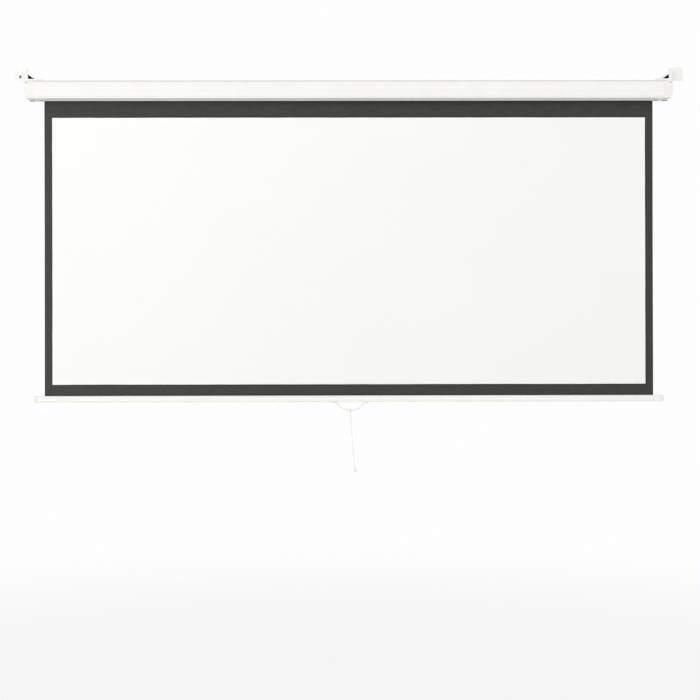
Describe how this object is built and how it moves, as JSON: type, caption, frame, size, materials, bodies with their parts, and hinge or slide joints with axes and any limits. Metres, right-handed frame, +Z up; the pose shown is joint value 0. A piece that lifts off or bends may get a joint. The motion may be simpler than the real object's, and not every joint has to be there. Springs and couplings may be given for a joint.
{
  "type": "manual pull-down projector screen",
  "caption": "Long white wall case with a spring roller; a white screen sheet with a charcoal border hangs from it to a bottom bar with a swinging pull handle and cord.",
  "frame": {"origin": "on the wall plane, at the middle of the flat back of the case", "axes": "+X along the case to the viewer's right, +Y into the wall, +Z up; the viewing side faces -Y and the sheet draws down along -Z"},
  "size_m": [2.5046, 0.072, 1.5144],
  "materials": {
    "white_enamel": "satin white powder coat",
    "white_moulding": "fine satin moulding",
    "cream_enamel": "satin cream-white enamel",
    "plated_steel": "bright zinc plate",
    "dark_steel": "blackened steel",
    "spring_steel": "oiled spring wire",
    "black_rubber": "matt black rubber",
    "grey_moulding": "grey engineering plastic",
    "screen_cloth": "matt white viewing surface with a charcoal border",
    "dark_cloth": "charcoal woven backing",
    "white_cord": "braided off-white cord"
  },
  "bodies": {
    "case": {"case_shell": "white_enamel", "left_end_cap": "white_moulding", "right_end_cap": "white_moulding", "left_wall_bracket": "white_enamel", "right_wall_bracket": "white_enamel", "left_ear_plug": "black_rubber", "left_side_screw": "dark_steel", "right_side_screw": "dark_steel", "shaft_cradle": "plated_steel", "pin_cradle": "plated_steel", "pin_bush": "white_moulding", "spring_shaft": "plated_steel", "ratchet_wheel": "plated_steel", "roller_spring": "spring_steel", "spring_anchor": "grey_moulding", "left_cap_screw_a": "dark_steel", "left_foot_screw_a": "plated_steel", "left_cap_screw_b": "dark_steel", "left_foot_screw_b": "plated_steel", "right_cap_screw_a": "dark_steel", "right_foot_screw_a": "plated_steel", "right_cap_screw_b": "dark_steel", "right_foot_screw_b": "plated_steel"},
    "roller": {"roller_tube": "plated_steel", "left_roller_plug": "grey_moulding", "right_roller_plug": "grey_moulding", "idler_pin": "plated_steel", "wound_sheet": "dark_cloth", "pawl_pin_a": "plated_steel", "pawl_pin_b": "plated_steel"},
    "pawl_upper": {"pawl_a": "plated_steel"},
    "pawl_lower": {"pawl_b": "plated_steel"},
    "bar": {"screen_sheet": "screen_cloth", "bottom_bar": "cream_enamel", "hem_rod": "grey_moulding", "left_bar_cap": "white_moulding", "right_bar_cap": "white_moulding", "left_handle_lug": "white_moulding", "right_handle_lug": "white_moulding", "left_lug_screw": "plated_steel", "right_lug_screw": "plated_steel"},
    "handle": {"pull_handle": "white_moulding"},
    "cord": {"cord_knot": "white_cord", "pull_cord": "white_cord", "cord_bell": "white_moulding"}
  },
  "joints": [
    {"name": "sheet_draw", "type": "slide", "parent": "case", "child": "bar", "axis": [0, 0, -1], "range_m": [-1.095, 0.78], "deforming": ["screen_sheet"]},
    {"name": "roller_turn", "type": "hinge", "parent": "case", "child": "roller", "pos_m": [0, -0.037, 0], "axis": [-1, 0, 0], "range_deg": [-2860, 2040]},
    {"name": "upper_pawl_swing", "type": "hinge", "parent": "roller", "child": "pawl_upper", "pos_m": [-1.15915, -0.037, 0.0155], "axis": [1, 0, 0], "range_deg": [0, 40]},
    {"name": "lower_pawl_swing", "type": "hinge", "parent": "roller", "child": "pawl_lower", "pos_m": [-1.15915, -0.037, -0.0155], "axis": [1, 0, 0], "range_deg": [-40, 0]},
    {"name": "handle_swing", "type": "hinge", "parent": "bar", "child": "handle", "pos_m": [0.004, -0.01493, -1.1637], "axis": [1, 0, 0], "range_deg": [-80, 80]},
    {"name": "cord_swing", "type": "hinge", "parent": "handle", "child": "cord", "pos_m": [0.004, -0.01493, -1.1885], "axis": [1, 0, 0], "range_deg": [-82, 82]}
  ],
  "couplings": [
    {"joint": "roller_turn", "follows": "sheet_draw", "rad_per_m": 45.3},
    {"joint": "cord_swing", "follows": "handle_swing", "ratio": -1}
  ]
}
